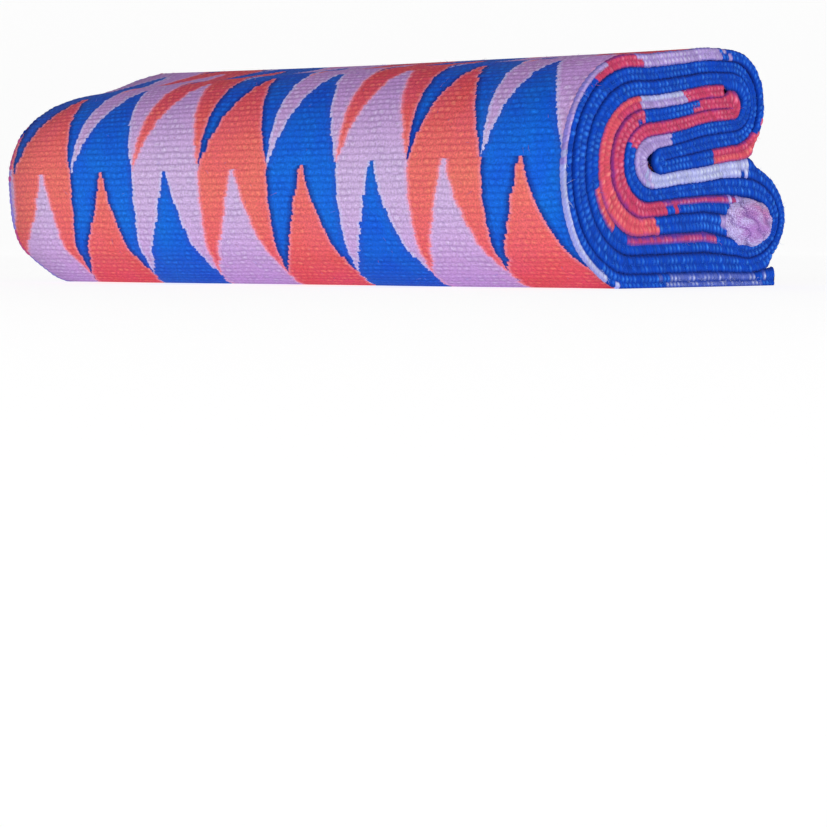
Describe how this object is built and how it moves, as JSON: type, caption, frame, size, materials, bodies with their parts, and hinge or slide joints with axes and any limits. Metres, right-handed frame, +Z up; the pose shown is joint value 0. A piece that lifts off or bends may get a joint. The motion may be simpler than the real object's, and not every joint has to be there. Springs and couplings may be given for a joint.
{
  "type": "folded kente cloth",
  "caption": "Narrow handwoven strip of kente cloth in a flame zigzag weave, folded back and forth into a pad and bent in half, for display on a shelf or table.",
  "frame": {"origin": "on the surface that the bundle rests on, under the middle of its box", "axes": "+X along the fold from selvage to selvage, with the end that the picture shows at +X; the round bend faces -Y and the two lobes face +Y; +Z up"},
  "size_m": [0.11, 0.0558, 0.035],
  "materials": {
    "woven_kente": "matte warp-faced handweave in royal blue, coral and lilac"
  },
  "bodies": {
    "root": {"kente_cloth": "woven_kente"}
  },
  "joints": []
}
